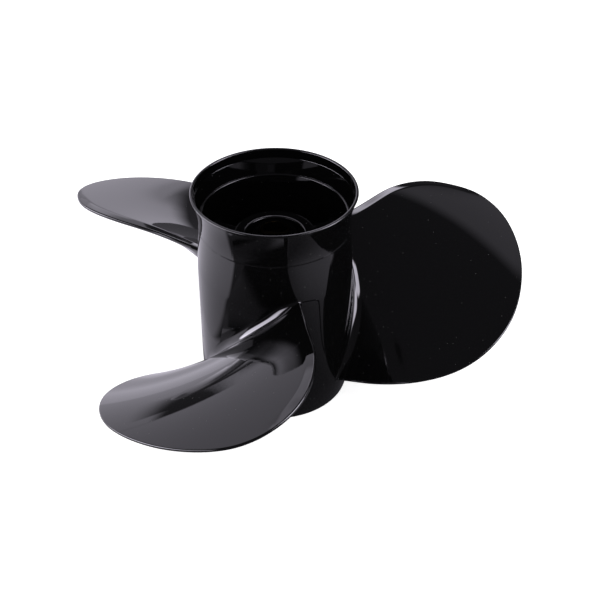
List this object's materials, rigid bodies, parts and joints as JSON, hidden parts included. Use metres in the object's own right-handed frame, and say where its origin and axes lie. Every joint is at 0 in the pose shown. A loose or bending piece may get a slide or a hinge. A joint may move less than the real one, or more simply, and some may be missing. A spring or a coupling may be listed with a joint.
{
  "type": "outboard motor propeller",
  "caption": "Black cast boat propeller with broad raked blades on a hollow flared barrel that passes the exhaust; a rubber bush holds its splined sleeve.",
  "frame": {"origin": "on the shaft axis, in the plane of the barrel's front end, which the propeller stands on", "axes": "+Z along the shaft axis, pointing aft to the flared rim; +X to the side of the blade at the picture's right, whose tip lies 18 degrees from +X towards +Y"},
  "size_m": [0.2604, 0.2676, 0.127],
  "materials": {
    "black_enamel": "gloss black enamel over cast aluminium",
    "bush_rubber": "matt moulded rubber",
    "sleeve_brass": "machined brass"
  },
  "bodies": {
    "root": {"propeller_casting": "black_enamel", "rubber_bush": "bush_rubber", "splined_sleeve": "sleeve_brass"}
  },
  "joints": []
}
